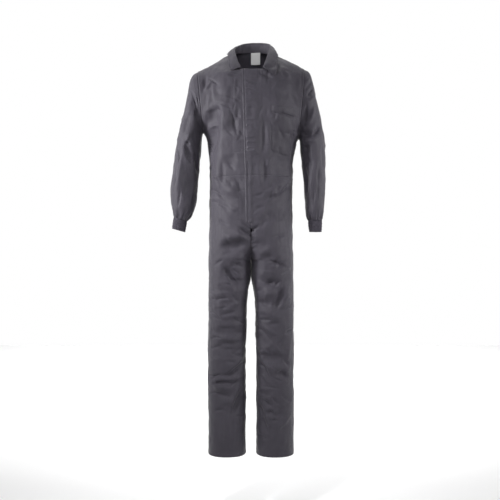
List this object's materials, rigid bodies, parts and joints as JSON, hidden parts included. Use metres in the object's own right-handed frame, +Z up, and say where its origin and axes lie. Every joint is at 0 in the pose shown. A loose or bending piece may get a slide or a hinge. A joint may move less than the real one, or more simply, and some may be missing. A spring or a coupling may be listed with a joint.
{
  "type": "boiler suit",
  "caption": "One-piece work suit worn open and hollow, with shirt collar, flap-covered front, chest patch pocket, long sleeves gathered into knit cuffs and straight legs.",
  "frame": {"origin": "middle of the neck opening, level with the inner ends of the shoulder seams, where the wearer's neck and shoulders carry the suit", "axes": "+Z up along the suit, the front faces -Y, the wearer's left is +X"},
  "size_m": [0.601, 0.2568, 1.6134],
  "materials": {
    "twill": "soft satin twill",
    "knit": "matte rib knit",
    "label": "matte woven tape"
  },
  "bodies": {
    "root": {"front_right": "twill", "front_left": "twill", "back": "twill", "leg_front_right": "twill", "leg_front_left": "twill", "leg_back_right": "twill", "leg_back_left": "twill", "sleeve_right": "twill", "sleeve_left": "twill", "cuff_right": "knit", "cuff_left": "knit", "collar": "twill", "placket": "twill", "chest_pocket": "twill", "neck_label": "label"}
  },
  "joints": []
}
